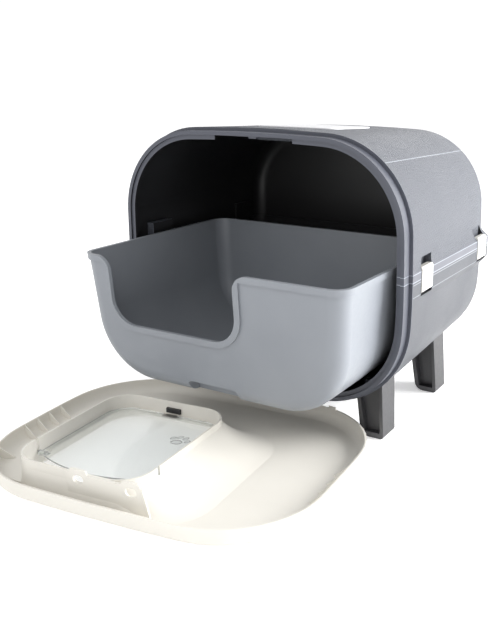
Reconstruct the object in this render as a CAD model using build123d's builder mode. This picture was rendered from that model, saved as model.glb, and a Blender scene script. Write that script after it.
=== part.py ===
from build123d import *
from math import atan, cos, degrees, radians, sin, tan
import os

os.makedirs("parts", exist_ok=True)

# All sizes are in millimetres. X runs across the box, +Y from the front ring to the rear, +Z up.
# The pieces are made with the ring's front face at y = 0 and moved to the origin at the end.

# Front view of the shell: a rounded square with bowed sides, widest at the foot of the upper half
shell_width = 520.0
top_rise = 244.0
bottom_drop = 170.0
floor_clearance = 60.0
side_lean_top = 9.0
side_lean_bottom = 20.0
crown_drop = 10.0
keel_rise = 8.0
top_corner_radius = 142.0
bottom_corner_radius = 140.0

# Side view of the shell
shell_depth = 385.0
neck_length = 20.0
body_step = 5.0
rear_inset = 10.0
rear_edge_radius = 26.0
shell_wall = 3.0

# Front ring: an outer band, a sunk inner band and a throat that lets the tray pass
neck_wall = 4.0
outer_band = 6.0
band_sink = 3.0
throat_inset = 13.0
throat_lip = 4.0
notch_width = 142.0
notch_web = 7.0
nub_width = 14.0
nub_depth = 2.5

# Joint between hood and base, with the band that the latches span
joint_height = 265.0
hood_band = 14.0
base_band = 21.0
band_rear_reach = 7.0
band_corner_radius = 34.0
hood_flare = 36.0
flare_bend = 0.36
flare_bend_reach = 0.34
base_flare = 22.0
flare_sink = 3.0
tongue_height = 6.0
tongue_root = 8.0
tongue_wall = 3.0
tongue_clearance = 0.5

# Latches, two on each side
front_latch_y = 75.0
rear_latch_y = 328.0
latch_width = 42.0
latch_height = 40.0
latch_thickness = 7.1
latch_side_clearance = 1.0
latch_back_clearance = 0.4
slot_depth = 6.5
slot_drop = 3.5
pivot_above_slot = 8.0
pin_radius = 1.25
pin_clearance = 0.04
pin_grip = 4.0
hook_bite = 2.5
hook_clearance = 0.4
hook_rise = 3.9
recess_height = 21.0
recess_depth = 15.0
latch_backing = 4.0

# Filter well in the roof
filter_y = 195.0
filter_lid_size = 152.0
filter_corner_radius = 26.0
lid_gap = 1.6
lid_plate = 3.2
lid_proud = 1.4
lid_skirt = 4.0
lid_skirt_wall = 2.2
well_ledge = 4.0
well_depth = 20.0
well_wall = 2.5
filter_thickness = 10.0
filter_clearance = 1.5
vent_slot_length = 14.0
vent_slot_width = 3.0
vent_rows = 8
vent_columns = 6
vent_pitch_x = 20.0
vent_pitch_y = 14.0

# Finger slot behind the ring, over the notch
finger_slot_y = 29.0
finger_pocket_width = 142.0
finger_pocket_length = 15.0
finger_pocket_depth = 1.6
finger_slot_width = 128.0
finger_slot_gap = 5.5
finger_pad = 2.4

# Litter tray, drawn out of the ring
tray_drawn = 136.0
tray_rim_height = 288.0
tray_floor_height = 84.0
tray_side_clearance = 26.0
tray_side_lean = 14.0
tray_corner_radius = 106.0
tray_depth = 368.0
tray_front_lean = 14.0
tray_rear_lean = 8.0
tray_edge_radius = 26.0
tray_wall = 3.0
tray_lip = 3.0
tray_lip_height = 10.0
tray_lip_top = 2.5
entry_offset = -62.0
entry_width = 234.0
entry_sill_height = 180.0
entry_corner_radius = 42.0
entry_mouth_radius = 24.0
grip_width = 92.0
grip_height = 21.0
grip_depth = 26.0
grip_offset = 3.0

# Front cover, lying inside up on the floor
cover_x = -28.0
cover_y = -126.0
cover_turn = 5.5
cover_clearance = 1.0
cover_wall = 3.0
cover_plate = 3.0
cover_rim_height = 25.0
cover_edge_radius = 8.0
cover_inner_radius = 13.0
mound_height = 40.0
mound_right = 85.0
mound_left = 14.0
mound_near = 10.0
mound_far = 40.0
mound_rounding = 30.0
mound_bend = 0.3
mound_bend_reach = 0.42
mound_sink = 0.5
collar_width = 214.0
collar_length = 256.0
collar_rise = 94.0
collar_height = 50.0
collar_wall = 2.6
collar_radius = 45.0
ledge_height = 26.0
ledge_width = 9.0
ledge_top = 148.0
bracket_width = 122.0
bracket_wall = 3.0
bracket_flank = 12.0
lobe_height = 6.0
lobe_width = 30.0
lobe_spacing = 86.0
lobe_hole_width = 18.0
lobe_hole_height = 12.0
lobe_hole_drop = 9.0
gusset_length = 24.0
gusset_height = 21.0
gusset_wall = 2.2
gusset_rises = (10.0, 38.0, 66.0, 94.0)
gusset_spots = (-160.0, -95.0, 95.0, 160.0)
gusset_turn = 55.0
cover_tab_width = 14.0
cover_tab_height = 4.0
cover_tab_spacing = 320.0

# Clear flap in the entry collar
flap_axis_rise = 165.0
flap_seat_gap = 1.5
flap_thickness = 2.5
flap_side_gap = 2.5
flap_foot_gap = 7.5
flap_corner_radius = 38.0
flap_crown = 25.0
flap_barrel_radius = 4.2
flap_barrel_length = 12.0
flap_pin_radius = 2.4
flap_pin_clearance = 0.05
flap_slot_clearance = 0.25
flap_pin_head = 1.5
magnet_width = 26.0
magnet_depth = 4.5
magnet_height = 8.0
magnet_lift = 5.0
strike_length = 26.0
strike_width = 9.0
strike_thickness = 1.4
strike_inset = 2.0

# Runners, legs and their screws
runner_spacing = 220.0
runner_width = 6.0
runner_gap = 0.3
runner_front = 8.0
runner_rear_gap = 12.0
leg_x = 198.0
front_leg_y = 57.0
rear_leg_y = 282.0
leg_foot_width = 40.0
leg_foot_length = 44.0
leg_top_width = 48.0
leg_top_length = 48.0
leg_splay_x = 11.0
leg_splay_y = 5.0
leg_block_height = 112.0
leg_inner_radius = 17.0
leg_outer_radius = 5.0
leg_pocket_border = 4.5
leg_pocket_depth = 12.0
leg_pocket_foot = 9.0
screw_x = 180.0
boss_radius = 7.0
boss_top = 92.0
screw_head_radius = 4.2
screw_head_height = 3.0
screw_radius = 2.0
screw_length = 31.0
screw_clearance = 0.1
screw_head_clearance = 0.2

# Values worked out from the sizes above
half_width = shell_width / 2
widest_height = floor_clearance + bottom_drop
body_length = shell_depth - neck_length
draft = degrees(atan((body_step + rear_inset) / body_length))
draft_slope = tan(radians(draft))
rear_half = half_width - rear_inset
band_half = half_width + body_step
band_rear = shell_depth + band_rear_reach
band_bottom = joint_height - base_band
hood_band_top = joint_height + hood_band
wall_front = neck_length + shell_wall
cavity_grow = body_step - shell_wall - shell_wall * draft_slope
slot_x = band_half - slot_depth
slot_bottom = band_bottom - slot_drop
pivot_z = slot_bottom + pivot_above_slot
pivot_x = slot_x + latch_back_clearance + latch_thickness / 2
latch_rows = {"front": front_latch_y, "rear": rear_latch_y}
sides = {"right": 1, "left": -1}
far = 2 * shell_width


def block(corner, opposite, mode=Mode.ADD):
    """Box between two opposite corners, given in any order"""
    low = [min(a, b) for a, b in zip(corner, opposite)]
    size = [abs(a - b) for a, b in zip(corner, opposite)]
    with Locations(tuple(low)):
        Box(*size, align=(Align.MIN, Align.MIN, Align.MIN), mode=mode)


def shell_outline(grow):
    """Front view of the shell, grown outwards, with its widest line on the x axis"""
    half = half_width + grow
    top = top_rise + grow
    drop = bottom_drop + grow
    with BuildSketch(mode=Mode.PRIVATE) as outline:
        with BuildLine():
            shoulder = TangentArc((half, 0), (half - side_lean_top, top - crown_drop), tangent=(0, 1))
            crown = ThreePointArc(shoulder @ 1, (0, top), (side_lean_top - half, top - crown_drop))
            TangentArc((-half, 0), crown @ 1, tangent=(0, 1))
            hip = TangentArc((-half, 0), (side_lean_bottom - half, keel_rise - drop), tangent=(0, -1))
            keel = ThreePointArc(hip @ 1, (0, -drop), (half - side_lean_bottom, keel_rise - drop))
            TangentArc((half, 0), keel @ 1, tangent=(0, -1))
        make_face()
        fillet(outline.vertices().group_by(Axis.Y)[-1], top_corner_radius + grow)
        fillet(outline.vertices().group_by(Axis.Y)[0], bottom_corner_radius + grow)
    return outline.sketch


def upright_plane(y):
    """Upright plane at depth y that faces the rear, with its x axis towards the left"""
    return Plane(origin=(0, y, 0), x_dir=(-1, 0, 0), z_dir=(0, 1, 0))


def straight_form(grow, front, rear):
    """Solid with the shell's outline from one depth to another"""
    with BuildPart(mode=Mode.PRIVATE) as form:
        with BuildSketch(upright_plane(front)):
            with Locations((0, widest_height)):
                add(shell_outline(grow))
        extrude(amount=rear - front)
    return form.part


def drafted_form(grow, front, rear, radius):
    """Solid with the shell's outline that narrows towards a rounded rear edge"""
    with BuildPart(mode=Mode.PRIVATE) as form:
        with BuildSketch(upright_plane(front)):
            with Locations((0, widest_height)):
                add(shell_outline(grow))
        extrude(amount=rear - front, taper=draft)
        fillet(form.faces().sort_by(Axis.Y)[-1].edges(), radius)
    return form.part


def cavity_form(shrink):
    """Room inside the shell's body, made smaller by shrink"""
    return drafted_form(
        cavity_grow - shrink,
        wall_front,
        shell_depth - shell_wall - shrink,
        rear_edge_radius - shell_wall - shrink,
    )


def band_section(height, spread):
    """Plan view of the joint band: spread 1 is its full reach, spread 0 lies just inside the wall"""
    wall = half_width + body_step - flare_sink
    rear_wall = rear_half - flare_sink
    front_half = wall + (band_half - wall) * spread
    rear_reach = rear_wall + (band_half - rear_wall) * spread
    rear = shell_depth - flare_sink + (band_rear - shell_depth + flare_sink) * spread
    with BuildSketch(Plane.XY.offset(height), mode=Mode.PRIVATE) as section:
        with BuildLine():
            Polyline(
                (-front_half, neck_length),
                (front_half, neck_length),
                (rear_reach, rear),
                (-rear_reach, rear),
                close=True,
            )
        make_face()
        fillet(section.vertices().group_by(Axis.Y)[-1], band_corner_radius)
    return section.sketch


# Outside of hood and base together, without any room inside
with BuildPart() as outside:
    add(straight_form(0, 0, neck_length))
    add(drafted_form(body_step, neck_length, shell_depth, rear_edge_radius))

# Joint band with its concave flare up the hood and its straight flare down the base
with BuildPart() as hood_flare_form:
    add(band_section(hood_band_top, 1))
    add(band_section(hood_band_top + hood_flare * flare_bend, flare_bend_reach))
    add(band_section(hood_band_top + hood_flare, 0))
    loft()

with BuildPart() as hood_band_form:
    add(band_section(joint_height, 1))
    extrude(amount=hood_band)
    add(hood_flare_form.part)

with BuildPart() as base_flare_form:
    add(band_section(band_bottom - base_flare, 0))
    add(band_section(band_bottom, 1))
    loft(ruled=True)

with BuildPart() as base_band_form:
    add(band_section(band_bottom, 1))
    extrude(amount=base_band)
    add(base_flare_form.part)

# Everything that is hollow inside the shell, from the ring's throat to the rear wall
with BuildPart() as hollow:
    add(straight_form(-outer_band, -band_sink, band_sink))
    add(straight_form(-throat_inset, -band_sink, band_sink + throat_lip))
    add(straight_form(-neck_wall, band_sink + throat_lip, wall_front))
    add(cavity_form(0))
    block(
        (-notch_width / 2, -band_sink, widest_height),
        (notch_width / 2, band_sink + throat_lip, widest_height + top_rise - notch_web),
    )


def latch_side_walls(y):
    """Lowest and highest y of the slot that a latch lies in"""
    half = latch_width / 2 + latch_side_clearance
    return y - half, y + half


# Roof plane at the middle of the filter, square to the sloping roof
roof_height = widest_height + top_rise + body_step - (filter_y - neck_length) * draft_slope
roof = Plane(origin=(0, filter_y, roof_height), x_dir=(1, 0, 0), z_dir=(0, sin(radians(draft)), cos(radians(draft))))
well_size = filter_lid_size + 2 * lid_gap
lid_seat = lid_plate - lid_proud

# Solid pieces of the hood that stand inside its skin
with BuildPart() as hood_inserts:
    with BuildSketch(roof):
        RectangleRounded(well_size + 2 * well_wall, well_size + 2 * well_wall, filter_corner_radius + well_wall)
    extrude(amount=-(well_depth + well_wall))
    for side in sides.values():
        for y in latch_rows.values():
            front_wall, rear_wall = latch_side_walls(y)
            block(
                (side * (band_half - recess_depth - latch_backing), front_wall - latch_backing, joint_height),
                (side * far, rear_wall + latch_backing, hood_band_top + recess_height + latch_backing),
            )
    block(
        (-finger_pocket_width / 2 - finger_pad, neck_length, widest_height + top_rise - finger_pad),
        (finger_pocket_width / 2 + finger_pad, finger_slot_y + finger_pocket_length, far),
    )
with BuildPart() as hood_solid:
    add(outside.part)
    add(hood_band_form.part)
with BuildPart() as hood_inserts_trimmed:
    add(hood_inserts.part)
    add(hood_solid.part, mode=Mode.INTERSECT)

finger_plane = Plane.XY.offset(widest_height + top_rise + body_step)

with BuildPart() as hood:
    add(hood_solid.part)
    add(hollow.part, mode=Mode.SUBTRACT)
    add(hood_inserts_trimmed.part)
    split(bisect_by=Plane.XY.offset(joint_height), keep=Keep.TOP)
    # Seat for the lid, the well under it and the vents in its floor
    with BuildSketch(roof):
        RectangleRounded(well_size, well_size, filter_corner_radius)
    extrude(amount=-lid_seat, both=True, mode=Mode.SUBTRACT)
    with BuildSketch(roof):
        RectangleRounded(well_size - 2 * well_ledge, well_size - 2 * well_ledge, filter_corner_radius - well_ledge)
    extrude(amount=-well_depth, mode=Mode.SUBTRACT)
    with BuildSketch(roof.offset(-well_depth)):
        with GridLocations(vent_pitch_x, vent_pitch_y, vent_columns, vent_rows):
            SlotOverall(vent_slot_length, vent_slot_width)
    extrude(amount=-2 * well_wall, mode=Mode.SUBTRACT)
    # Finger slot
    with BuildSketch(finger_plane):
        with Locations((0, finger_slot_y)):
            SlotOverall(finger_pocket_width, finger_pocket_length)
    extrude(amount=-finger_pocket_depth, both=True, mode=Mode.SUBTRACT)
    with BuildSketch(finger_plane):
        with Locations((0, finger_slot_y + finger_pocket_length / 2 - finger_slot_gap)):
            SlotOverall(finger_slot_width, finger_slot_gap)
    extrude(amount=-4 * shell_wall, mode=Mode.SUBTRACT)
    # Catch nub under the middle of the notch
    block(
        (-nub_width / 2, band_sink, widest_height + top_rise - notch_web - nub_depth),
        (nub_width / 2, band_sink + throat_lip, widest_height + top_rise - neck_wall),
    )
    # Slots for the latches and finger recesses above them
    for side in sides.values():
        for y in latch_rows.values():
            front_wall, rear_wall = latch_side_walls(y)
            block(
                (side * slot_x, front_wall, joint_height - 1),
                (side * far, rear_wall, hood_band_top + 1),
                Mode.SUBTRACT,
            )
            block(
                (side * (band_half - recess_depth), front_wall, hood_band_top),
                (side * far, rear_wall, hood_band_top + recess_height),
                Mode.SUBTRACT,
            )
hood.part.label = "hood"

# Tongue on the base that locates the hood, with gaps for the latch slots
with BuildPart() as tongue_zone:
    block(
        (-far, wall_front + tongue_wall, joint_height - tongue_root),
        (far, far, joint_height + tongue_height),
    )
    for side in sides.values():
        for y in latch_rows.values():
            front_wall, rear_wall = latch_side_walls(y)
            reach = latch_backing + tongue_wall
            block(
                (0, front_wall - reach, joint_height - tongue_root),
                (side * far, rear_wall + reach, joint_height + tongue_height),
                Mode.SUBTRACT,
            )

with BuildPart() as tongue:
    add(cavity_form(tongue_clearance))
    add(cavity_form(tongue_clearance + tongue_wall), mode=Mode.SUBTRACT)
    add(tongue_zone.part, mode=Mode.INTERSECT)

# Foot of the tongue, which joins it to the base's wall below the joint
with BuildPart() as foot_zone:
    block(
        (-far, wall_front + tongue_wall, joint_height - tongue_root - tongue_wall),
        (far, far, joint_height - tongue_root),
    )

with BuildPart() as tongue_foot:
    add(cavity_form(-shell_wall / 2))
    add(cavity_form(tongue_clearance + tongue_wall), mode=Mode.SUBTRACT)
    add(foot_zone.part, mode=Mode.INTERSECT)

leg_spots = {"front": front_leg_y, "rear": rear_leg_y}
screw_spots = [(side * screw_x, y) for side in sides.values() for y in leg_spots.values()]

with BuildPart() as base_solid:
    add(outside.part)
    add(base_band_form.part)

with BuildPart() as base_inserts:
    for side in sides.values():
        block(
            (side * (runner_spacing / 2 - runner_width / 2), runner_front, 0),
            (side * (runner_spacing / 2 + runner_width / 2), shell_depth - runner_rear_gap, tray_floor_height - runner_gap),
        )
        for y in latch_rows.values():
            front_wall, rear_wall = latch_side_walls(y)
            block(
                (side * (slot_x - latch_backing), front_wall - pin_grip, slot_bottom - latch_backing),
                (side * far, rear_wall + pin_grip, joint_height),
            )
    with Locations(*[(x, y, 0) for x, y in screw_spots]):
        Cylinder(boss_radius, boss_top, align=(Align.CENTER, Align.CENTER, Align.MIN))
    add(base_solid.part, mode=Mode.INTERSECT)

with BuildPart() as base_shell:
    add(base_solid.part)
    add(hollow.part, mode=Mode.SUBTRACT)
    add(base_inserts.part)
    split(bisect_by=Plane.XY.offset(joint_height), keep=Keep.BOTTOM)
    add(tongue_foot.part)
    add(tongue.part)
    for side in sides.values():
        for y in latch_rows.values():
            front_wall, rear_wall = latch_side_walls(y)
            block((side * slot_x, front_wall, slot_bottom), (side * far, rear_wall, joint_height + 1), Mode.SUBTRACT)
            with Locations(Location((side * pivot_x, y, pivot_z), (90, 0, 0))):
                Cylinder(
                    pin_radius + pin_clearance,
                    latch_width + 2 * latch_side_clearance + 2 * pin_grip,
                    mode=Mode.SUBTRACT,
                )
    with Locations(*[(x, y, boss_top) for x, y in screw_spots]):
        Cylinder(
            screw_head_radius + screw_head_clearance,
            2 * screw_head_height,
            mode=Mode.SUBTRACT,
        )
        Cylinder(screw_radius + screw_clearance, 2 * boss_top, mode=Mode.SUBTRACT)
base_shell.part.label = "base_shell"


def make_latch(side, y, name):
    """Latch with a barrel round its pin at the foot and a ramped hook at the top"""
    back = slot_x + latch_back_clearance
    face = back + latch_thickness
    barrel_radius = latch_thickness / 2
    top = pivot_z - barrel_radius + latch_height
    hook_foot = hook_clearance + hood_band_top
    with BuildPart() as latch:
        with BuildSketch(Plane.XZ.offset(-y)):
            with BuildLine():
                Polyline(
                    (back, pivot_z),
                    (back, hook_foot),
                    (slot_x - hook_bite, hook_foot + hook_rise),
                    (slot_x - hook_bite, top),
                    (face - latch_thickness / 3, top),
                    (face, top - latch_thickness / 2),
                    (face, pivot_z),
                    close=True,
                )
            make_face()
            with Locations((pivot_x, pivot_z)):
                Circle(barrel_radius)
                Circle(pin_radius + pin_clearance, mode=Mode.SUBTRACT)
            if side < 0:
                mirror(about=Plane.YZ, mode=Mode.REPLACE)
        extrude(amount=latch_width / 2, both=True)
        upright = latch.edges().filter_by(Axis.X).group_by(Axis.Z)[-1]
        chamfer(upright, latch_thickness / 6)
    latch.part.label = name
    return latch.part


latches = {
    f"{row}_{hand}_latch": make_latch(side, y, f"{row}_{hand}_latch")
    for row, y in latch_rows.items()
    for hand, side in sides.items()
}

with BuildPart() as latch_pins:
    for side in sides.values():
        for y in latch_rows.values():
            with Locations(Location((side * pivot_x, y, pivot_z), (90, 0, 0))):
                Cylinder(pin_radius, latch_width + 2 * latch_side_clearance + 2 * pin_grip)
latch_pins.part.label = "latch_pins"

# Lid of the filter well, with vents and a skirt that drops into the well
with BuildPart() as filter_lid:
    with BuildSketch(roof.offset(-lid_seat)):
        RectangleRounded(filter_lid_size, filter_lid_size, filter_corner_radius - lid_gap)
    extrude(amount=lid_plate)
    skirt_size = well_size - 2 * well_ledge - 2 * lid_gap
    skirt_radius = filter_corner_radius - well_ledge - lid_gap
    with BuildSketch(roof.offset(-lid_seat)):
        RectangleRounded(skirt_size, skirt_size, skirt_radius)
        RectangleRounded(
            skirt_size - 2 * lid_skirt_wall,
            skirt_size - 2 * lid_skirt_wall,
            skirt_radius - lid_skirt_wall,
            mode=Mode.SUBTRACT,
        )
    extrude(amount=-lid_skirt)
    with BuildSketch(roof.offset(-lid_seat)):
        with GridLocations(vent_pitch_x, vent_pitch_y, vent_columns, vent_rows):
            SlotOverall(vent_slot_length, vent_slot_width)
    extrude(amount=lid_plate, mode=Mode.SUBTRACT)
    lid_rim = filter_lid.faces().sort_by(Axis.Z)[-1].outer_wire().edges()
    fillet(lid_rim, lid_proud * 0.8)
filter_lid.part.label = "filter_lid"

# Charcoal pad on the well's floor
pad_size = well_size - 2 * well_ledge - 2 * filter_clearance
with BuildPart() as charcoal_filter:
    with BuildSketch(roof.offset(-well_depth)):
        RectangleRounded(pad_size, pad_size, filter_corner_radius - well_ledge - filter_clearance)
    extrude(amount=filter_thickness)
charcoal_filter.part.label = "charcoal_filter"

# Litter tray
tray_front = -tray_drawn
tray_rear = tray_front + tray_depth
tray_half = half_width - tray_side_clearance


def tray_form(shrink, rise):
    """Solid of the tray's outside, or of its room when shrunk, up to the rim"""
    half = tray_half - shrink
    floor = tray_floor_height + shrink
    top = tray_rim_height + rise
    front = tray_front + shrink
    rear = tray_rear - shrink
    heel = half - tray_side_lean
    with BuildPart(mode=Mode.PRIVATE) as form:
        with BuildSketch(upright_plane(front)) as section:
            with BuildLine():
                Polyline(
                    (-half, top),
                    (-heel, floor),
                    (heel, floor),
                    (half, top),
                    close=True,
                )
            make_face()
            fillet(section.vertices().group_by(Axis.Y)[0], tray_corner_radius - shrink)
        extrude(amount=rear - front)
        with BuildSketch(Plane.YZ):
            with BuildLine():
                Polyline(
                    (front, top),
                    (front + tray_front_lean, floor),
                    (rear - tray_rear_lean, floor),
                    (rear, top),
                    close=True,
                )
            make_face()
        extrude(amount=far, both=True, mode=Mode.INTERSECT)
        round_over = tray_edge_radius - shrink
        for face in (form.faces().sort_by(Axis.Y)[0], form.faces().sort_by(Axis.Y)[-1]):
            fillet([e for e in face.edges() if e.center().Z < top - 1], round_over)
    return form.part


def entry_outline(grow):
    """Entry cut in the tray's front seen from behind, with rounded sill corners and a flared mouth"""
    half = entry_width / 2 + grow
    top = tray_rim_height + tray_lip_height
    mouth = entry_mouth_radius - grow
    with BuildSketch(mode=Mode.PRIVATE) as outline:
        with Locations((-entry_offset, (entry_sill_height - grow + top) / 2)):
            Rectangle(2 * half, top - entry_sill_height + grow)
        fillet(outline.vertices().group_by(Axis.Y)[0], entry_corner_radius + grow)
        for hand in sides.values():
            edge = -entry_offset + hand * half
            with Locations((edge + hand * mouth / 2, (tray_rim_height - mouth + top) / 2)):
                Rectangle(mouth, top - tray_rim_height + mouth)
            with Locations((edge + hand * mouth, tray_rim_height - mouth)):
                Circle(mouth, mode=Mode.SUBTRACT)
    return outline.sketch


entry_plane = upright_plane(tray_front - tray_edge_radius)

# Lip that stands out round the rim and down round the entry
with BuildPart() as lip_zone:
    block((-far, -far, tray_rim_height - tray_lip_height), (far, far, tray_rim_height))
    with BuildSketch(entry_plane):
        add(entry_outline(tray_lip_height))
    extrude(amount=3 * tray_edge_radius)

with BuildPart() as lip:
    add(tray_form(-tray_lip, 0))
    add(lip_zone.part, mode=Mode.INTERSECT)

# Finger grip pressed up into the floor's front edge
grip_rear = tray_front + tray_front_lean + grip_depth
grip_top = tray_floor_height + grip_height
grip_rounding = grip_height / 3


def grip_block(grow):
    """Room of the finger grip, grown on all sides"""
    half = grip_width / 2 + grow
    with BuildPart(mode=Mode.PRIVATE) as room:
        block(
            (grip_offset - half, tray_front - tray_edge_radius, 0),
            (grip_offset + half, grip_rear + grow, grip_top + grow),
        )
        fillet(room.edges().filter_by(Axis.Y).group_by(Axis.Z)[-1], grip_rounding + grow)
    return room.part


with BuildPart() as grip_skin:
    add(tray_form(0, 0))
    add(grip_block(tray_wall), mode=Mode.INTERSECT)

with BuildPart() as tray:
    add(tray_form(0, 0))
    add(lip.part)
    add(tray_form(tray_wall, tray_wall), mode=Mode.SUBTRACT)
    add(grip_skin.part)
    add(grip_block(0), mode=Mode.SUBTRACT)
    with BuildSketch(entry_plane):
        add(entry_outline(0))
    extrude(amount=3 * tray_edge_radius, mode=Mode.SUBTRACT)
tray.part.label = "tray"

# Front cover, made lying on the floor: its upper end points to -Y and its inside faces up
cover_grow = cover_clearance + cover_wall
cover_base = Plane(
    origin=(cover_x, cover_y, 0),
    x_dir=(cos(radians(cover_turn)), sin(radians(cover_turn)), 0),
    z_dir=(0, 0, 1),
)


def cover_outline(grow):
    """Shell outline laid flat with its top towards -Y"""
    return mirror(shell_outline(grow), about=Plane.XZ)


def collar_outline(shrink):
    """Outline of the entry collar laid flat, made smaller by shrink"""
    with BuildSketch(mode=Mode.PRIVATE) as outline:
        with Locations((entry_offset, -collar_rise)):
            RectangleRounded(collar_width - 2 * shrink, collar_length - 2 * shrink, collar_radius - shrink)
    return outline.sketch


with BuildPart() as cover_body:
    with BuildSketch():
        add(cover_outline(cover_grow))
    extrude(amount=cover_rim_height)
    fillet(cover_body.faces().sort_by(Axis.Z)[0].edges(), cover_edge_radius)

with BuildPart() as cover_room:
    with BuildSketch(Plane.XY.offset(cover_plate)):
        add(cover_outline(cover_clearance))
    extrude(amount=cover_rim_height)
    fillet(cover_room.faces().sort_by(Axis.Z)[0].edges(), cover_inner_radius)


def mound_section(height, share, inset):
    """Outline of the mound round the collar, at a height: share 1 is its full reach, share 0 the collar"""
    left = entry_offset - collar_width / 2 - share * mound_left + inset
    right = entry_offset + collar_width / 2 + share * mound_right - inset
    near = -collar_rise - collar_length / 2 - share * mound_near + inset
    far_side = -collar_rise + collar_length / 2 + share * mound_far - inset
    with BuildSketch(Plane.XY.offset(height), mode=Mode.PRIVATE) as section:
        with Locations(((left + right) / 2, (near + far_side) / 2)):
            RectangleRounded(right - left, far_side - near, collar_radius + share * mound_rounding - inset)
    return section.sketch


# The plate rises in a hollow mound to the collar
bend_height = mound_bend * mound_height
with BuildPart() as mound:
    add(mound_section(cover_plate - mound_sink, 1, 0))
    add(mound_section(cover_plate + bend_height, mound_bend_reach, 0))
    add(mound_section(mound_height, 0, mound_sink))
    loft()
with BuildPart() as mound_hollow:
    add(mound_section(-mound_sink, 1, cover_plate))
    add(mound_section(bend_height - cover_plate, mound_bend_reach, 2 * cover_plate))
    add(mound_section(ledge_height - cover_plate, 0, collar_wall + ledge_width))
    loft()

# Triangular ribs between the cover's plate and its rim
with BuildPart() as rib_plates:
    for rise in gusset_rises:
        block((-far, -rise - gusset_wall / 2, 0), (far, -rise + gusset_wall / 2, cover_rim_height))
    for spot in gusset_spots:
        block((spot - gusset_wall / 2, -far, 0), (spot + gusset_wall / 2, 0, cover_rim_height))
    for side in sides.values():
        with Locations(Location((0, 0, 0), (0, 0, -90 + side * gusset_turn))):
            Box(far, gusset_wall, 2 * cover_rim_height, align=(Align.MIN, Align.CENTER, Align.CENTER))

gusset_taper = -degrees(atan(gusset_length / gusset_height))
with BuildPart() as gussets:
    with BuildSketch(Plane.XY.offset(cover_plate)):
        add(cover_outline(cover_clearance + cover_wall / 2))
    extrude(amount=gusset_height)
    with BuildSketch(Plane.XY.offset(cover_plate)):
        add(cover_outline(cover_clearance - gusset_length))
    extrude(amount=gusset_height, taper=gusset_taper, mode=Mode.SUBTRACT)
    add(rib_plates.part, mode=Mode.INTERSECT)

# Two tabs on the rim's lower end
with BuildPart() as tab_zone:
    for hand in sides.values():
        tab_x = hand * cover_tab_spacing / 2
        block((tab_x - cover_tab_width / 2, 0, 0), (tab_x + cover_tab_width / 2, far, far))

with BuildPart() as tabs:
    with BuildSketch(Plane.XY.offset(cover_plate)):
        add(cover_outline(cover_grow))
        add(cover_outline(cover_clearance), mode=Mode.SUBTRACT)
    extrude(amount=cover_rim_height - cover_plate + cover_tab_height)
    add(tab_zone.part, mode=Mode.INTERSECT)

with BuildPart() as cover_flat:
    add(cover_body.part)
    add(cover_room.part, mode=Mode.SUBTRACT)
    add(gussets.part)
    # Entry collar with the ledge that the flap closes on
    add(mound.part)
    with BuildSketch():
        add(collar_outline(0))
    extrude(amount=collar_height)
    bracket_line = -(collar_rise + collar_length / 2)
    with BuildSketch(Plane.XZ.offset(-bracket_line)):
        with BuildLine():
            Polyline(
                (-bracket_width / 2, 0),
                (-bracket_width / 2, collar_height),
                (bracket_width / 2, collar_height),
                (bracket_width / 2 + bracket_flank, 0),
                close=True,
            )
        make_face()
        with Locations(*[(hand * lobe_spacing / 2, collar_height) for hand in sides.values()]):
            RectangleRounded(lobe_width, 2 * lobe_height, lobe_height * 0.9)
    extrude(amount=bracket_wall)
    with BuildSketch(Plane.XY.offset(ledge_height)):
        add(collar_outline(collar_wall))
    extrude(amount=collar_height, mode=Mode.SUBTRACT)
    with BuildSketch():
        add(collar_outline(collar_wall + ledge_width))
        with BuildSketch(mode=Mode.PRIVATE) as upper_opening:
            add(collar_outline(collar_wall))
            with Locations((entry_offset, -ledge_top)):
                Rectangle(
                    collar_width,
                    collar_length,
                    align=(Align.CENTER, Align.MAX),
                    mode=Mode.INTERSECT,
                )
        add(upper_opening.sketch)
    extrude(amount=ledge_height, mode=Mode.SUBTRACT)
    add(mound_hollow.part, mode=Mode.SUBTRACT)
    # Windows in the bracket
    with BuildSketch(Plane.XZ.offset(-bracket_line)):
        with Locations(*[(hand * lobe_spacing / 2, collar_height - lobe_hole_drop) for hand in sides.values()]):
            SlotOverall(lobe_hole_width, lobe_hole_height)
    extrude(amount=bracket_wall, mode=Mode.SUBTRACT)
    with BuildSketch(Plane.XZ.offset(-bracket_line)):
        with Locations(*[(hand * lobe_spacing / 2, collar_height - lobe_hole_drop) for hand in sides.values()]):
            SlotOverall(lobe_hole_width, lobe_hole_height)
    extrude(amount=-2 * collar_wall, mode=Mode.SUBTRACT)
    # Slots that take the flap's pins, open at the collar's edge
    flap_z = ledge_height + flap_seat_gap + flap_thickness / 2
    for hand in sides.values():
        wall_x = entry_offset + hand * collar_width / 2
        slot_half = flap_pin_radius + flap_slot_clearance
        block(
            (wall_x - hand * 2 * collar_wall, -flap_axis_rise - slot_half, flap_z),
            (wall_x + hand, -flap_axis_rise + slot_half, collar_height + 1),
            Mode.SUBTRACT,
        )
        with Locations(Location((wall_x, -flap_axis_rise, flap_z), (0, 90, 0))):
            Cylinder(slot_half, 4 * collar_wall, mode=Mode.SUBTRACT)
    add(tabs.part)

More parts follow.
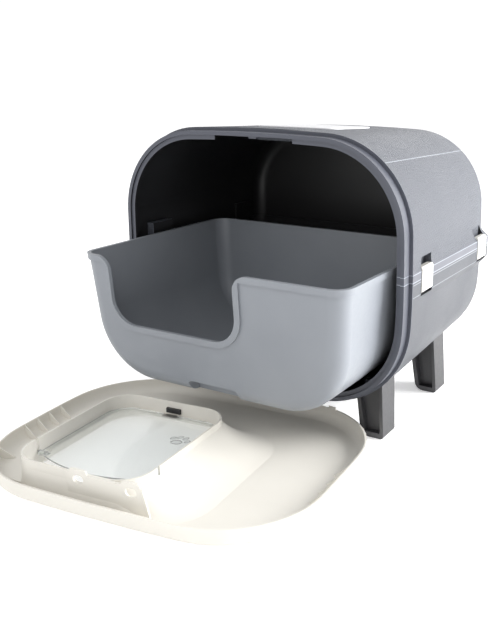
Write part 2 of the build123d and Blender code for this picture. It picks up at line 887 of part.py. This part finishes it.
# Flap, clear, hung on two pins between the collar's walls
flap_half = collar_width / 2 - collar_wall - flap_side_gap
flap_foot = -(collar_rise - collar_length / 2) - collar_wall - flap_foot_gap
with BuildPart() as flap_flat:
    with BuildSketch(Plane.XY.offset(flap_z - flap_thickness / 2)) as flap_face:
        with BuildLine():
            Polyline(
                (entry_offset - flap_half, -flap_axis_rise),
                (entry_offset - flap_half, flap_foot),
                (entry_offset + flap_half, flap_foot),
                (entry_offset + flap_half, -flap_axis_rise),
            )
            ThreePointArc(
                (entry_offset + flap_half, -flap_axis_rise),
                (entry_offset, -flap_axis_rise - flap_crown),
                (entry_offset - flap_half, -flap_axis_rise),
            )
        make_face()
        fillet(flap_face.vertices().group_by(Axis.Y)[-1], flap_corner_radius)
    extrude(amount=flap_thickness)
    for hand in sides.values():
        barrel_x = entry_offset + hand * (flap_half - flap_barrel_length / 2)
        with Locations(Location((barrel_x, -flap_axis_rise, flap_z), (0, 90, 0))):
            Cylinder(flap_barrel_radius, flap_barrel_length)
            Cylinder(flap_pin_radius + flap_pin_clearance, 2 * flap_barrel_length, mode=Mode.SUBTRACT)

flap_pin_length = flap_barrel_length + flap_side_gap + collar_wall + flap_pin_head
with BuildPart() as flap_pins_flat:
    for hand in sides.values():
        pin_x = entry_offset + hand * (flap_half - flap_barrel_length + flap_pin_length / 2)
        with Locations(Location((pin_x, -flap_axis_rise, flap_z), (0, 90, 0))):
            Cylinder(flap_pin_radius, flap_pin_length)

magnet_wall = -(collar_rise - collar_length / 2) - collar_wall
with BuildPart() as magnet_flat:
    block(
        (entry_offset - magnet_width / 2, magnet_wall - magnet_depth, ledge_height + magnet_lift),
        (entry_offset + magnet_width / 2, magnet_wall, ledge_height + magnet_lift + magnet_height),
    )
    chamfer(magnet_flat.edges().filter_by(Axis.X).group_by(Axis.Y)[0], magnet_depth / 6)

with BuildPart() as strike_flat:
    block(
        (entry_offset - strike_length / 2, flap_foot - strike_inset - strike_width, flap_z + flap_thickness / 2),
        (
            entry_offset + strike_length / 2,
            flap_foot - strike_inset,
            flap_z + flap_thickness / 2 + strike_thickness,
        ),
    )
    chamfer(strike_flat.edges().filter_by(Axis.Z), strike_thickness)


def leg_pocket(foot_x, top_x, y):
    """Hollow in a leg's front face, from near its foot to the shell"""
    half = leg_foot_length / 2
    with BuildPart(mode=Mode.PRIVATE) as pocket:
        with BuildSketch(Plane.XY.offset(leg_pocket_foot)):
            with Locations((foot_x, y - half)):
                Rectangle(leg_foot_width - 2 * leg_pocket_border - leg_pocket_foot / 2, 2 * leg_pocket_depth)
        with BuildSketch(Plane.XY.offset(leg_block_height)):
            with Locations((top_x, y - half)):
                Rectangle(leg_top_width - 2 * leg_pocket_border, 2 * leg_pocket_depth)
        loft(ruled=True)
    return pocket.part


def make_leg(side, y, lean, name):
    """Splayed leg with a hollow front, cut to the shell that it carries"""
    foot_x = side * leg_x
    top_x = side * (leg_x - leg_splay_x)
    with BuildPart() as leg:
        with BuildSketch():
            with Locations((foot_x, y)):
                Rectangle(leg_foot_width, leg_foot_length)
        with BuildSketch(Plane.XY.offset(leg_block_height)):
            with Locations((top_x, y - lean * leg_splay_y)):
                Rectangle(leg_top_width, leg_top_length)
        loft(ruled=True)
        foot_edges = leg.edges().group_by(Axis.Z)[0].filter_by(Axis.Y).sort_by(Axis.X)
        fillet(foot_edges[0 if side > 0 else -1], leg_inner_radius)
        foot_edges = leg.edges().group_by(Axis.Z)[0].filter_by(Axis.Y).sort_by(Axis.X)
        fillet(foot_edges[-1 if side > 0 else 0], leg_outer_radius)
        add(leg_pocket(foot_x, top_x, y), mode=Mode.SUBTRACT)
        add(outside.part, mode=Mode.SUBTRACT)
        with Locations((side * screw_x, y, boss_top - screw_head_height)):
            Cylinder(
                screw_radius + screw_clearance,
                screw_length + screw_clearance,
                align=(Align.CENTER, Align.CENTER, Align.MAX),
                mode=Mode.SUBTRACT,
            )
    leg.part.label = name
    return leg.part


legs = {
    f"{row}_{hand}_leg": make_leg(side, y, 1 if row == "rear" else -1, f"{row}_{hand}_leg")
    for row, y in leg_spots.items()
    for hand, side in sides.items()
}

with BuildPart() as leg_screws:
    with Locations(*[(x, y, boss_top - screw_head_height) for x, y in screw_spots]):
        Cylinder(screw_head_radius, screw_head_height, align=(Align.CENTER, Align.CENTER, Align.MIN))
        Cylinder(screw_radius, screw_length, align=(Align.CENTER, Align.CENTER, Align.MAX))
leg_screws.part.label = "leg_screws"

# The cover and what hangs in it are turned to the way they lie on the floor
laid_flat = {
    "front_cover": cover_flat.part,
    "entry_flap": flap_flat.part,
    "flap_hinge_pins": flap_pins_flat.part,
    "flap_magnet": magnet_flat.part,
    "flap_strike_plate": strike_flat.part,
}
pieces = {
    "base_shell": base_shell.part,
    "hood": hood.part,
    "tray": tray.part,
    "latch_pins": latch_pins.part,
    "filter_lid": filter_lid.part,
    "charcoal_filter": charcoal_filter.part,
    "leg_screws": leg_screws.part,
}
pieces.update(latches)
pieces.update(legs)
for name, part in laid_flat.items():
    pieces[name] = cover_base.location * part

# The origin is the middle of the whole object's box, on the floor
boxes = [piece.bounding_box() for piece in pieces.values()]
middle_x = (min(box.min.X for box in boxes) + max(box.max.X for box in boxes)) / 2
middle_y = (min(box.min.Y for box in boxes) + max(box.max.Y for box in boxes)) / 2
for name, piece in pieces.items():
    placed = Pos(-middle_x, -middle_y, 0) * piece
    placed.label = name
    export_step(placed, f"parts/{name}.step")
print("middle of the box before the move:", round(middle_x, 3), round(middle_y, 3))
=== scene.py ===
import math

import bpy
from mathutils import Matrix, Vector


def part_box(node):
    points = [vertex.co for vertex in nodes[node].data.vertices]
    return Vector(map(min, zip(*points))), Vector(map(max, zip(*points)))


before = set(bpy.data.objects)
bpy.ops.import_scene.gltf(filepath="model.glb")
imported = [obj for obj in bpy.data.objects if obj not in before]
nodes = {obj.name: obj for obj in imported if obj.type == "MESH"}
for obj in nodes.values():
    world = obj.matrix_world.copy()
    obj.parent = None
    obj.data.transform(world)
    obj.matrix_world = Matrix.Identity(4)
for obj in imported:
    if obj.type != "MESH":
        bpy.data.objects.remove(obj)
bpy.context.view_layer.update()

MM = 0.001

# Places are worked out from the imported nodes: the shell's front face and middle give the model's own origin
shell_low, shell_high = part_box("base_shell")
middle_x = (shell_low.x + shell_high.x) / 2
front_y = shell_low.y

# Shell sizes that the textures follow, in metres
shell_half = (shell_high.x - shell_low.x) / 2
top_corner = 0.142
neck_end = front_y + 22.5 * MM

# Heights of the joint and its bands, the woven field's foot, and the weave's pitch
JOINT_Z = 0.265
BAND_TOP_Z = 0.279
BAND_FOOT_Z = 0.244
WEAVE_FOOT_Z = 0.2815
WEAVE_PITCH = 4.0 * MM
SEAM_ANGLE = math.radians(48.0)
roof_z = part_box("hood")[1].z


def model_point(x, y, z):
    """Point given in millimetres from the middle of the shell's front face, at floor level"""
    return Vector((middle_x + x * MM, front_y + y * MM, z * MM))


# Node material helpers

def new_material(name):
    """Material with an empty node tree, its output and its main shader"""
    material = bpy.data.materials.new(name)
    material.use_nodes = True
    tree = material.node_tree
    tree.nodes.clear()
    output = tree.nodes.new("ShaderNodeOutputMaterial")
    shader = tree.nodes.new("ShaderNodeBsdfPrincipled")
    tree.links.new(shader.outputs["BSDF"], output.inputs["Surface"])
    return material, tree, shader


def link(tree, source, target):
    """Join an output to an input"""
    tree.links.new(source, target)


def math_node(tree, operation, first, second=None):
    """Math node with each input linked or set; returns its output"""
    node = tree.nodes.new("ShaderNodeMath")
    node.operation = operation
    for index, value in enumerate((first, second)):
        if value is None:
            continue
        if isinstance(value, (int, float)):
            node.inputs[index].default_value = value
        else:
            link(tree, value, node.inputs[index])
    return node.outputs[0]


def object_coordinates(tree):
    return tree.nodes.new("ShaderNodeTexCoord").outputs["Object"]


def split_vector(tree, vector):
    node = tree.nodes.new("ShaderNodeSeparateXYZ")
    link(tree, vector, node.inputs[0])
    return node.outputs[0], node.outputs[1], node.outputs[2]


def noise(tree, vector, scale, detail=2.0, roughness=0.5):
    """Noise from 0 to 1, its scale in features per metre"""
    node = tree.nodes.new("ShaderNodeTexNoise")
    node.inputs["Scale"].default_value = scale
    node.inputs["Detail"].default_value = detail
    node.inputs["Roughness"].default_value = roughness
    link(tree, vector, node.inputs["Vector"])
    return node.outputs["Fac"]


def remap(tree, value, low, high, to_low, to_high):
    node = tree.nodes.new("ShaderNodeMapRange")
    link(tree, value, node.inputs["Value"])
    for name, number in zip(("From Min", "From Max", "To Min", "To Max"), (low, high, to_low, to_high)):
        node.inputs[name].default_value = number
    return node.outputs["Result"]


def mix_colours(tree, factor, first, second):
    """Mix of two colours, each a tuple or an output"""
    node = tree.nodes.new("ShaderNodeMix")
    node.data_type = "RGBA"
    link(tree, factor, node.inputs[0])
    for socket, value in ((node.inputs[6], first), (node.inputs[7], second)):
        if isinstance(value, tuple):
            socket.default_value = (*value, 1.0)
        else:
            link(tree, value, socket)
    return node.outputs[2]


def add_bump(tree, shader, height, distance, strength=1.0, after=None):
    """Bump of a height pattern, its distance in metres, on top of an earlier bump if one is given"""
    node = tree.nodes.new("ShaderNodeBump")
    node.inputs["Strength"].default_value = strength
    node.inputs["Distance"].default_value = distance
    link(tree, height, node.inputs["Height"])
    if after is not None:
        link(tree, after, node.inputs["Normal"])
    link(tree, node.outputs["Normal"], shader.inputs["Normal"])
    return node.outputs["Normal"]


def faces_outwards(tree, centre):
    """1 where the surface faces away from a centre point, 0 where it faces the room inside"""
    geometry = tree.nodes.new("ShaderNodeNewGeometry")
    offset = tree.nodes.new("ShaderNodeVectorMath")
    offset.operation = "SUBTRACT"
    link(tree, object_coordinates(tree), offset.inputs[0])
    offset.inputs[1].default_value = centre
    dot = tree.nodes.new("ShaderNodeVectorMath")
    dot.operation = "DOT_PRODUCT"
    link(tree, offset.outputs[0], dot.inputs[0])
    link(tree, geometry.outputs["Normal"], dot.inputs[1])
    return math_node(tree, "GREATER_THAN", dot.outputs["Value"], 0.0)


def wrapped_distance(tree, across, up, corner_x, corner_z, radius):
    """Distance along the shell's rounded section, so that a pattern runs round its corners evenly"""
    reach = math_node(tree, "ABSOLUTE", across)
    beyond_x = math_node(tree, "MAXIMUM", math_node(tree, "SUBTRACT", reach, corner_x), 0.0)
    beyond_z = math_node(tree, "MAXIMUM", math_node(tree, "SUBTRACT", up, corner_z), 0.0)
    turn = math_node(tree, "MULTIPLY", math_node(tree, "ARCTAN2", beyond_x, beyond_z), radius)
    flat = math_node(tree, "MINIMUM", reach, corner_x)
    below = math_node(tree, "MAXIMUM", math_node(tree, "SUBTRACT", corner_z, up), 0.0)
    return math_node(tree, "ADD", math_node(tree, "ADD", flat, turn), below)


def ridge(tree, value, pitch):
    """Rounded ridges across a value, from 0 to 1"""
    wave = math_node(tree, "SINE", math_node(tree, "MULTIPLY", value, math.pi / pitch))
    return math_node(tree, "ABSOLUTE", wave)


def basket_weave(tree, first, second, pitch):
    """Height of a plain basket weave: square cells whose strands run one way and then the other"""
    column = math_node(tree, "FLOOR", math_node(tree, "DIVIDE", first, pitch))
    row = math_node(tree, "FLOOR", math_node(tree, "DIVIDE", second, pitch))
    parity = math_node(tree, "MODULO", math_node(tree, "ABSOLUTE", math_node(tree, "ADD", column, row)), 2.0)
    along = ridge(tree, first, pitch / 2)
    over = ridge(tree, second, pitch)
    one_way = math_node(tree, "MULTIPLY", along, math_node(tree, "POWER", over, 0.5))
    other_along = ridge(tree, second, pitch / 2)
    other_over = ridge(tree, first, pitch)
    other_way = math_node(tree, "MULTIPLY", other_along, math_node(tree, "POWER", other_over, 0.5))
    mixed = tree.nodes.new("ShaderNodeMix")
    mixed.data_type = "FLOAT"
    link(tree, parity, mixed.inputs[0])
    link(tree, one_way, mixed.inputs[2])
    link(tree, other_way, mixed.inputs[3])
    return mixed.outputs[0]


SHELL_CENTRE = model_point(0, 200, 262)


def shell_surface_coordinates(tree):
    """Depth and wrapped distance on the shell's skin; on the rear wall, across and up"""
    across, depth, up = split_vector(tree, object_coordinates(tree))
    across = math_node(tree, "SUBTRACT", across, middle_x)
    around = wrapped_distance(
        tree, across, up, shell_half - top_corner, roof_z - top_corner, top_corner
    )
    geometry = tree.nodes.new("ShaderNodeNewGeometry")
    _, facing_rear, _ = split_vector(tree, geometry.outputs["Normal"])
    rear = math_node(tree, "GREATER_THAN", math_node(tree, "ABSOLUTE", facing_rear), 0.75)

    def choose(skin, wall):
        node = tree.nodes.new("ShaderNodeMix")
        node.data_type = "FLOAT"
        link(tree, rear, node.inputs[0])
        link(tree, skin, node.inputs[2])
        link(tree, wall, node.inputs[3])
        return node.outputs[0]

    return choose(depth, across), choose(around, up)


def level_line(tree, up, height, half_width):
    """1 within a small distance of a height, with soft edges"""
    away = math_node(tree, "ABSOLUTE", math_node(tree, "SUBTRACT", up, height))
    return remap(tree, away, half_width * 0.5, half_width * 1.3, 1.0, 0.0)


def shoulder_highlight_line(tree):
    """1 on a painted highlight line along the mould seam of each shoulder of the hood"""
    across, _, up = split_vector(tree, object_coordinates(tree))
    reach = math_node(tree, "ABSOLUTE", math_node(tree, "SUBTRACT", across, middle_x))
    out = math_node(tree, "SUBTRACT", reach, shell_half - top_corner)
    rise = math_node(tree, "SUBTRACT", up, roof_z - top_corner)
    angle = math_node(tree, "ARCTAN2", rise, out)
    away = math_node(tree, "ABSOLUTE", math_node(tree, "SUBTRACT", angle, SEAM_ANGLE))
    line = remap(tree, away, 0.5 * MM / top_corner, 1.2 * MM / top_corner, 1.0, 0.0)
    geometry = tree.nodes.new("ShaderNodeNewGeometry")
    _, facing_rear, _ = split_vector(tree, geometry.outputs["Normal"])
    skin = math_node(tree, "LESS_THAN", math_node(tree, "ABSOLUTE", facing_rear), 0.3)
    return math_node(tree, "MULTIPLY", line, skin)


def hood_material():
    """Grey moulded plastic, woven texture outside; smooth inside, with a near-black painted shade"""
    material, tree, shader = new_material("woven_grey_plastic")
    coordinates = object_coordinates(tree)
    outside = faces_outwards(tree, SHELL_CENTRE)
    _, depth, up = split_vector(tree, coordinates)
    behind_neck = math_node(tree, "GREATER_THAN", depth, neck_end)
    above_band = math_node(tree, "GREATER_THAN", up, WEAVE_FOOT_Z)
    woven = math_node(tree, "MULTIPLY", math_node(tree, "MULTIPLY", outside, behind_neck), above_band)
    first, second = shell_surface_coordinates(tree)
    weave = basket_weave(tree, first, second, WEAVE_PITCH)
    blotches = noise(tree, coordinates, 9.0, 3.0)
    grain = noise(tree, coordinates, 900.0, 2.0)
    light = mix_colours(tree, blotches, (0.088, 0.096, 0.115), (0.107, 0.116, 0.137))
    # Painted shade: the weave's hollows are coloured darker, as shade falls in them
    weave_with_valley_shade = mix_colours(tree, remap(tree, weave, 0.0, 0.7, 0.0, 1.0), (0.046, 0.050, 0.062), light)
    skin = mix_colours(tree, woven, (0.070, 0.075, 0.095), weave_with_valley_shade)
    # Painted highlight: a light line along each shoulder's mould seam
    shoulder_highlight = math_node(tree, "MULTIPLY", shoulder_highlight_line(tree), behind_neck)
    # Painted highlights: light lines along the edges above the joint and over the band
    highlight_above_joint = level_line(tree, up, JOINT_Z + 2.4 * MM, 0.7 * MM)
    highlight_over_band = level_line(tree, up, BAND_TOP_Z, 0.6 * MM)
    # Each painted highlight line is mixed in with one light colour
    for line in (shoulder_highlight, highlight_above_joint, highlight_over_band):
        skin = mix_colours(tree, line, skin, (0.26, 0.28, 0.31))
    skin = mix_colours(tree, level_line(tree, up, JOINT_Z, 0.6 * MM), skin, (0.02, 0.02, 0.025))
    # Painted shade: the faces inside the hood get a near-black colour
    colour = mix_colours(tree, outside, (0.013, 0.013, 0.014), skin)
    link(tree, colour, shader.inputs["Base Color"])
    rough = math_node(tree, "ADD", remap(tree, blotches, 0.3, 0.7, 0.36, 0.44),
                      math_node(tree, "MULTIPLY", woven, 0.06))
    link(tree, rough, shader.inputs["Roughness"])
    fine = add_bump(tree, shader, grain, 0.00006, 0.5)
    height = math_node(tree, "MULTIPLY", weave, woven)
    add_bump(tree, shader, height, 0.0006, 1.0, fine)
    shader.inputs["Specular IOR Level"].default_value = 0.5
    return material


def base_material():
    """Dark blue-grey moulded plastic with a fine spark-eroded texture; smooth inside, with a darker painted
    shade
    """
    material, tree, shader = new_material("textured_blue_grey_plastic")
    coordinates = object_coordinates(tree)
    outside = faces_outwards(tree, SHELL_CENTRE)
    _, depth, up = split_vector(tree, coordinates)
    behind_neck = math_node(tree, "GREATER_THAN", depth, neck_end)
    skin_mask = math_node(tree, "MULTIPLY", outside, behind_neck)
    blotches = noise(tree, coordinates, 8.0, 3.0)
    grain = noise(tree, coordinates, 1400.0, 3.0, 0.6)
    skin = mix_colours(tree, blotches, (0.040, 0.044, 0.055), (0.051, 0.056, 0.068))
    speckled = mix_colours(tree, remap(tree, grain, 0.35, 0.65, 0.0, 1.0), (0.033, 0.037, 0.046), skin)
    ring = mix_colours(tree, skin_mask, (0.060, 0.065, 0.083), speckled)
    # Painted highlights: light lines along the edges below the joint and under the band
    highlight_below_joint = level_line(tree, up, JOINT_Z - 1.6 * MM, 0.7 * MM)
    highlight_under_band = level_line(tree, up, BAND_FOOT_Z, 0.6 * MM)
    for line in (highlight_below_joint, highlight_under_band):
        ring = mix_colours(tree, math_node(tree, "MULTIPLY", line, skin_mask), ring, (0.20, 0.215, 0.24))
    # Painted shade: the faces inside the base get a near-black colour
    colour = mix_colours(tree, outside, (0.016, 0.016, 0.018), ring)
    link(tree, colour, shader.inputs["Base Color"])
    link(tree, remap(tree, blotches, 0.3, 0.7, 0.40, 0.50), shader.inputs["Roughness"])
    add_bump(tree, shader, grain, 0.00010, 0.55)
    return material


def plain_plastic(name, colour, shade, roughness, grain_scale, grain_depth, coat=0.0):
    """Moulded plastic: a little mottling, a fine grain and faint flow marks"""
    material, tree, shader = new_material(name)
    coordinates = object_coordinates(tree)
    blotches = noise(tree, coordinates, 7.0, 4.0)
    link(tree, mix_colours(tree, remap(tree, blotches, 0.3, 0.7, 0.0, 1.0), shade, colour),
         shader.inputs["Base Color"])
    scuffs = noise(tree, coordinates, 160.0, 5.0, 0.7)
    link(tree, remap(tree, scuffs, 0.3, 0.7, roughness - 0.05, roughness + 0.06), shader.inputs["Roughness"])
    grain = noise(tree, coordinates, grain_scale, 2.0)
    add_bump(tree, shader, grain, grain_depth, 0.5)
    shader.inputs["Coat Weight"].default_value = coat
    shader.inputs["Coat Roughness"].default_value = 0.25
    return material


def clear_plastic(name, tint, roughness):
    """Clear moulded sheet with a little haze and faint waves"""
    material, tree, shader = new_material(name)
    coordinates = object_coordinates(tree)
    waves = noise(tree, coordinates, 14.0, 1.0)
    haze = noise(tree, coordinates, 220.0, 3.0)
    brighter = tuple(min(1.0, channel * 1.03) for channel in tint)
    link(tree, mix_colours(tree, haze, tint, brighter), shader.inputs["Base Color"])
    link(tree, remap(tree, haze, 0.35, 0.65, roughness, roughness + 0.08), shader.inputs["Roughness"])
    add_bump(tree, shader, waves, 0.0008, 0.25)
    shader.inputs["Transmission Weight"].default_value = 0.86
    shader.inputs["IOR"].default_value = 1.35
    return material


def flap_material():
    """Clear flap with a small raised paw, as many such flaps have"""
    material = clear_plastic("clear_flap_sheet", (0.93, 0.95, 0.94), 0.05)
    tree = material.node_tree
    shader = next(node for node in tree.nodes if node.type == "BSDF_PRINCIPLED")
    low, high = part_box("entry_flap")
    centre = (low + high) / 2 + Vector((58 * MM, 34 * MM, 0))
    across, depth, _ = split_vector(tree, object_coordinates(tree))
    paw = None
    for x, y, half_x, half_y in PAW_PADS:
        dx = math_node(tree, "DIVIDE", math_node(tree, "SUBTRACT", across, centre.x + x * MM), half_x * MM)
        dy = math_node(tree, "DIVIDE", math_node(tree, "SUBTRACT", depth, centre.y + y * MM), half_y * MM)
        square_x = math_node(tree, "MULTIPLY", dx, dx)
        square_y = math_node(tree, "MULTIPLY", dy, dy)
        square = math_node(tree, "ADD", square_x, square_y)
        pad = remap(tree, square, 0.75, 1.1, 1.0, 0.0)
        paw = pad if paw is None else math_node(tree, "MAXIMUM", paw, pad)
    before = next(node for node in tree.nodes if node.type == "BUMP").outputs["Normal"]
    add_bump(tree, shader, paw, 0.0008, 0.9, before)
    link(tree, mix_colours(tree, paw, (0.93, 0.95, 0.94), (0.80, 0.82, 0.82)), shader.inputs["Base Color"])
    return material


# Pads of the paw: across, up, half width and half height in millimetres
PAW_PADS = ((0, -4, 9, 7.5), (-13, 5, 4, 5.5), (-4.8, 12, 4, 6), (5.4, 12, 4, 6), (13.5, 5, 4, 5.5))


def steel_material(name, colour, roughness):
    """Brushed steel"""
    material, tree, shader = new_material(name)
    coordinates = object_coordinates(tree)
    mapping = tree.nodes.new("ShaderNodeMapping")
    mapping.inputs["Scale"].default_value = (1.0, 30.0, 1.0)
    link(tree, coordinates, mapping.inputs["Vector"])
    lines = noise(tree, mapping.outputs["Vector"], 90.0, 3.0)
    shader.inputs["Metallic"].default_value = 1.0
    link(tree, mix_colours(tree, lines, tuple(c * 0.85 for c in colour), colour), shader.inputs["Base Color"])
    link(tree, remap(tree, lines, 0.3, 0.7, roughness - 0.06, roughness + 0.08), shader.inputs["Roughness"])
    add_bump(tree, shader, lines, 0.00003, 0.4)
    return material


def felt_material():
    """Black charcoal felt: matted fibres"""
    material, tree, shader = new_material("charcoal_felt")
    coordinates = object_coordinates(tree)
    fibres = noise(tree, coordinates, 700.0, 6.0, 0.75)
    link(tree, mix_colours(tree, fibres, (0.008, 0.008, 0.009), (0.035, 0.035, 0.038)),
         shader.inputs["Base Color"])
    shader.inputs["Roughness"].default_value = 0.95
    shader.inputs["Sheen Weight"].default_value = 0.3
    add_bump(tree, shader, fibres, 0.0008, 0.8)
    return material


materials = {
    "hood": hood_material(),
    "base_shell": base_material(),
    "tray": plain_plastic(
        "satin_grey_plastic", (0.232, 0.248, 0.273), (0.207, 0.221, 0.245),
        0.38, 1100.0, 0.00005,
    ),
    "front_cover": plain_plastic(
        "cream_plastic", (0.70, 0.678, 0.625), (0.665, 0.643, 0.59),
        0.48, 900.0, 0.00005,
    ),
    "entry_flap": flap_material(),
    "flap_hinge_pins": clear_plastic("clear_pin_plastic", (0.90, 0.92, 0.91), 0.12),
    "flap_magnet": plain_plastic(
        "black_ferrite", (0.018, 0.018, 0.019), (0.010, 0.010, 0.011),
        0.5, 600.0, 0.0001,
    ),
    "flap_strike_plate": steel_material("strike_steel", (0.42, 0.41, 0.40), 0.34),
    "filter_lid": plain_plastic(
        "white_lid_plastic", (0.66, 0.66, 0.675), (0.62, 0.62, 0.635),
        0.36, 900.0, 0.00005, coat=0.15,
    ),
    "charcoal_filter": felt_material(),
    "latch_pins": steel_material("pin_steel", (0.62, 0.62, 0.62), 0.28),
    "leg_screws": steel_material("screw_steel", (0.55, 0.55, 0.54), 0.35),
}
latch_plastic = plain_plastic(
    "ivory_latch_plastic", (0.60, 0.59, 0.55), (0.56, 0.55, 0.51),
    0.30, 900.0, 0.00004, coat=0.2,
)
leg_plastic = plain_plastic(
    "black_leg_plastic", (0.042, 0.042, 0.045), (0.030, 0.030, 0.033),
    0.42, 900.0, 0.00008,
)
for name in nodes:
    if name.endswith("_latch"):
        materials[name] = latch_plastic
    if name.endswith("_leg"):
        materials[name] = leg_plastic

for name, node in nodes.items():
    node.data.materials.clear()
    node.data.materials.append(materials[name])


# Floor, lights and camera

FLOOR_GLOW = 0.36
FLOOR_DROP = 0.0002


def make_floor():
    """Pale floor that glows a little, so that it stays white to the horizon"""
    size = 12.0
    mesh = bpy.data.meshes.new("floor")
    corners = [(-size, -size, 0), (size, -size, 0), (size, size, 0), (-size, size, 0)]
    mesh.from_pydata(corners, [], [(0, 1, 2, 3)])
    floor = bpy.data.objects.new("floor", mesh)
    bpy.context.scene.collection.objects.link(floor)
    floor.location.z = -FLOOR_DROP
    material, tree, shader = new_material("pale_floor")
    shade = noise(tree, object_coordinates(tree), 1.2, 2.0)
    link(tree, mix_colours(tree, shade, (0.90, 0.90, 0.90), (0.93, 0.93, 0.93)), shader.inputs["Base Color"])
    shader.inputs["Roughness"].default_value = 0.9
    shader.inputs["Emission Color"].default_value = (1.0, 1.0, 1.0, 1.0)
    shader.inputs["Emission Strength"].default_value = FLOOR_GLOW
    mesh.materials.append(material)


def area_light(name, place, aim, size, power):
    """Rectangular light at a place, turned towards its aim"""
    data = bpy.data.lights.new(name, "AREA")
    data.shape = "RECTANGLE"
    data.size, data.size_y = size
    data.energy = power
    light = bpy.data.objects.new(name, data)
    bpy.context.scene.collection.objects.link(light)
    light.location = place
    light.rotation_euler = (Vector(aim) - Vector(place)).to_track_quat("-Z", "Y").to_euler()


make_floor()
area_light("key_light", (-1.0, -1.6, 3.0), (0, -0.1, 0.1), (2.8, 2.6), 28)
area_light("side_light", (2.2, 1.3, 1.05), (0.2, 0.25, 0.32), (1.6, 1.6), 130)
area_light("fill_light", (0.6, -2.4, 1.7), (-0.1, -0.2, 0.15), (2.0, 2.0), 10)
area_light("rear_light", (0.2, 2.8, 1.4), (0, 0.3, 0.3), (2.4, 1.2), 16)

world = bpy.data.worlds.new("studio")
world.use_nodes = True
sky = world.node_tree
sky_direction = sky.nodes.new("ShaderNodeTexCoord").outputs["Generated"]
_, _, sky_up = split_vector(sky, sky_direction)
sky_shade = remap(sky, sky_up, 0.12, 0.75, 1.0, 0.70)
sky_colour = mix_colours(sky, sky_shade, (0.0, 0.0, 0.0), (1.0, 1.0, 1.0))
link(sky, sky_colour, sky.nodes["Background"].inputs["Color"])
sky.nodes["Background"].inputs["Strength"].default_value = 1.05
bpy.context.scene.world = world

# Camera fitted to the photograph: its place and aim in the model's own millimetres
FOCAL_PX = 805.04
IMAGE_LONG_SIDE = 642.0
IMAGE_CENTRE = (251.0, 321.0)
PRINCIPAL_POINT = (323.46, 314.58)
CAMERA_PLACE = (705.9, -1034.77, 565.78)
CAMERA_AIM = (110.7, 29.6, 194.6)
CAMERA_ROLL = 0.29
SENSOR = 36.0

camera_data = bpy.data.cameras.new("camera")
camera_data.sensor_width = SENSOR
camera_data.lens = FOCAL_PX / IMAGE_LONG_SIDE * SENSOR
camera_data.shift_x = (IMAGE_CENTRE[0] - PRINCIPAL_POINT[0]) / IMAGE_LONG_SIDE
camera_data.shift_y = (PRINCIPAL_POINT[1] - IMAGE_CENTRE[1]) / IMAGE_LONG_SIDE
camera_data.clip_start = 0.05
camera = bpy.data.objects.new("camera", camera_data)
bpy.context.scene.collection.objects.link(camera)
camera.location = model_point(*CAMERA_PLACE)
aim = (model_point(*CAMERA_AIM) - camera.location).to_track_quat("-Z", "Y").to_matrix()
camera.rotation_euler = (aim @ Matrix.Rotation(math.radians(CAMERA_ROLL), 3, "Z")).to_euler()
bpy.context.scene.camera = camera
bpy.context.scene.view_settings.view_transform = "Standard"
